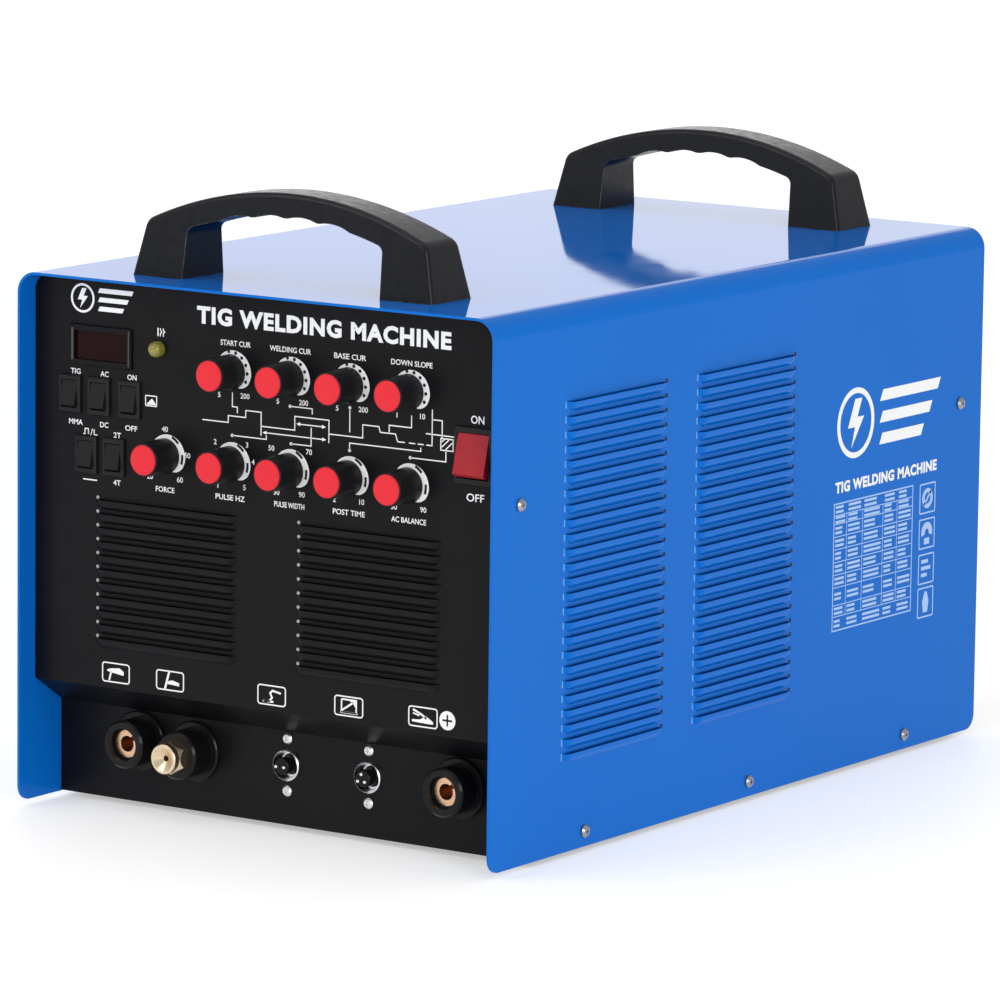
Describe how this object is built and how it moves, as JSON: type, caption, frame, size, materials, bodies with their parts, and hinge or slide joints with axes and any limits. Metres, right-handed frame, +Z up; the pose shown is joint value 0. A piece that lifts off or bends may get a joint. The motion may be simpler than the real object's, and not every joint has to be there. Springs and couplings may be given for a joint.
{
  "type": "tig welding machine",
  "caption": "Box-shaped TIG welding power source with a sheet-metal case, two top handles, a recessed control panel of knobs and rockers, output sockets and a rear fan.",
  "frame": {"origin": "bottom centre of the whole machine, on the plane its feet stand on", "axes": "+Z up, +Y from the control panel towards the rear panel, +X to the right as seen from the front"},
  "size_m": [0.326, 0.5386, 0.355],
  "materials": {
    "case_blue": "semi-gloss powder coat",
    "panel_black": "satin powder coat",
    "tray_steel": "satin powder coat",
    "foot_rubber": "matte",
    "handle_plastic": "fine moulded grain",
    "screw_steel": "nickel plated",
    "switch_plastic": "moulded",
    "power_red": "translucent moulded",
    "display_red": "smoked acrylic",
    "led_yellow": "clear moulded",
    "knob_black": "moulded",
    "cap_red": "moulded",
    "insulator_black": "moulded",
    "brass": "machined",
    "chrome": "plated",
    "fan_plastic": "glass-filled",
    "valve_metal": "cast",
    "ferrite": "sintered",
    "copper": "enamelled winding",
    "heat_sink_metal": "extruded",
    "board_green": "solder mask",
    "capacitor_blue": "sleeved"
  },
  "bodies": {
    "case": {"cover": "case_blue", "front_panel": "panel_black", "rear_panel": "panel_black", "base_tray": "tray_steel", "feet": "foot_rubber", "handle_front": "handle_plastic", "handle_rear": "handle_plastic", "handle_screws": "screw_steel", "cover_screws": "screw_steel", "switch_bodies": "switch_plastic", "power_switch_body": "switch_plastic", "display_module": "switch_plastic", "display_lens": "display_red", "indicator_led": "led_yellow", "socket_left_housing": "insulator_black", "socket_left_insert": "brass", "socket_right_housing": "insulator_black", "socket_right_insert": "brass", "torch_boss": "insulator_black", "torch_fitting": "brass", "aviation_shells": "chrome", "aviation_inserts": "insulator_black", "aviation_screws": "screw_steel", "fan_frame": "fan_plastic", "fan_guard": "chrome", "fan_screws": "screw_steel", "cable_gland": "fan_plastic", "gas_inlet": "brass", "gas_valve": "valve_metal", "transformer_core": "ferrite", "transformer_coil": "copper", "heat_sink": "heat_sink_metal", "power_board": "board_green", "bulk_capacitors": "capacitor_blue", "control_board": "board_green"},
    "dial_1": {"knob_1": "knob_black", "knob_cap_1": "cap_red"},
    "dial_2": {"knob_2": "knob_black", "knob_cap_2": "cap_red"},
    "dial_3": {"knob_3": "knob_black", "knob_cap_3": "cap_red"},
    "dial_4": {"knob_4": "knob_black", "knob_cap_4": "cap_red"},
    "dial_5": {"knob_5": "knob_black", "knob_cap_5": "cap_red"},
    "dial_6": {"knob_6": "knob_black", "knob_cap_6": "cap_red"},
    "dial_7": {"knob_7": "knob_black", "knob_cap_7": "cap_red"},
    "dial_8": {"knob_8": "knob_black", "knob_cap_8": "cap_red"},
    "dial_9": {"knob_9": "knob_black", "knob_cap_9": "cap_red"},
    "switch_1": {"rocker_1": "switch_plastic"},
    "switch_2": {"rocker_2": "switch_plastic"},
    "switch_3": {"rocker_3": "switch_plastic"},
    "switch_4": {"rocker_4": "switch_plastic"},
    "switch_5": {"rocker_5": "switch_plastic"},
    "power_switch": {"power_rocker": "power_red"},
    "fan": {"fan_rotor": "fan_plastic"}
  },
  "joints": [
    {"name": "dial_1_turn", "type": "hinge", "parent": "case", "child": "dial_1", "pos_m": [-0.0235, -0.2487, 0.257], "axis": [0, 1, 0], "range_deg": [0, 280]},
    {"name": "dial_2_turn", "type": "hinge", "parent": "case", "child": "dial_2", "pos_m": [0.016, -0.2487, 0.257], "axis": [0, 1, 0], "range_deg": [0, 280]},
    {"name": "dial_3_turn", "type": "hinge", "parent": "case", "child": "dial_3", "pos_m": [0.0555, -0.2487, 0.257], "axis": [0, 1, 0], "range_deg": [0, 280]},
    {"name": "dial_4_turn", "type": "hinge", "parent": "case", "child": "dial_4", "pos_m": [0.095, -0.2487, 0.257], "axis": [0, 1, 0], "range_deg": [0, 280]},
    {"name": "dial_5_turn", "type": "hinge", "parent": "case", "child": "dial_5", "pos_m": [-0.068, -0.2487, 0.2063], "axis": [0, 1, 0], "range_deg": [0, 280]},
    {"name": "dial_6_turn", "type": "hinge", "parent": "case", "child": "dial_6", "pos_m": [-0.0235, -0.2487, 0.2063], "axis": [0, 1, 0], "range_deg": [0, 280]},
    {"name": "dial_7_turn", "type": "hinge", "parent": "case", "child": "dial_7", "pos_m": [0.016, -0.2487, 0.2063], "axis": [0, 1, 0], "range_deg": [0, 280]},
    {"name": "dial_8_turn", "type": "hinge", "parent": "case", "child": "dial_8", "pos_m": [0.0555, -0.2487, 0.2063], "axis": [0, 1, 0], "range_deg": [0, 280]},
    {"name": "dial_9_turn", "type": "hinge", "parent": "case", "child": "dial_9", "pos_m": [0.095, -0.2487, 0.2063], "axis": [0, 1, 0], "range_deg": [0, 280]},
    {"name": "switch_1_tilt", "type": "hinge", "parent": "case", "child": "switch_1", "pos_m": [-0.1334, -0.2482, 0.2353], "axis": [1, 0, 0], "range_deg": [0, 24]},
    {"name": "switch_2_tilt", "type": "hinge", "parent": "case", "child": "switch_2", "pos_m": [-0.1134, -0.2482, 0.2353], "axis": [1, 0, 0], "range_deg": [0, 24]},
    {"name": "switch_3_tilt", "type": "hinge", "parent": "case", "child": "switch_3", "pos_m": [-0.0922, -0.2482, 0.2353], "axis": [1, 0, 0], "range_deg": [0, 24]},
    {"name": "switch_4_tilt", "type": "hinge", "parent": "case", "child": "switch_4", "pos_m": [-0.1221, -0.2482, 0.2021], "axis": [1, 0, 0], "range_deg": [0, 24]},
    {"name": "switch_5_tilt", "type": "hinge", "parent": "case", "child": "switch_5", "pos_m": [-0.1029, -0.2482, 0.2021], "axis": [1, 0, 0], "range_deg": [0, 24]},
    {"name": "power_switch_tilt", "type": "hinge", "parent": "case", "child": "power_switch", "pos_m": [0.1387, -0.2482, 0.2265], "axis": [1, 0, 0], "range_deg": [0, 28]},
    {"name": "fan_spin", "type": "hinge", "parent": "case", "child": "fan", "pos_m": [0, 0.2273, 0.175], "axis": [0, 1, 0], "continuous": true}
  ]
}
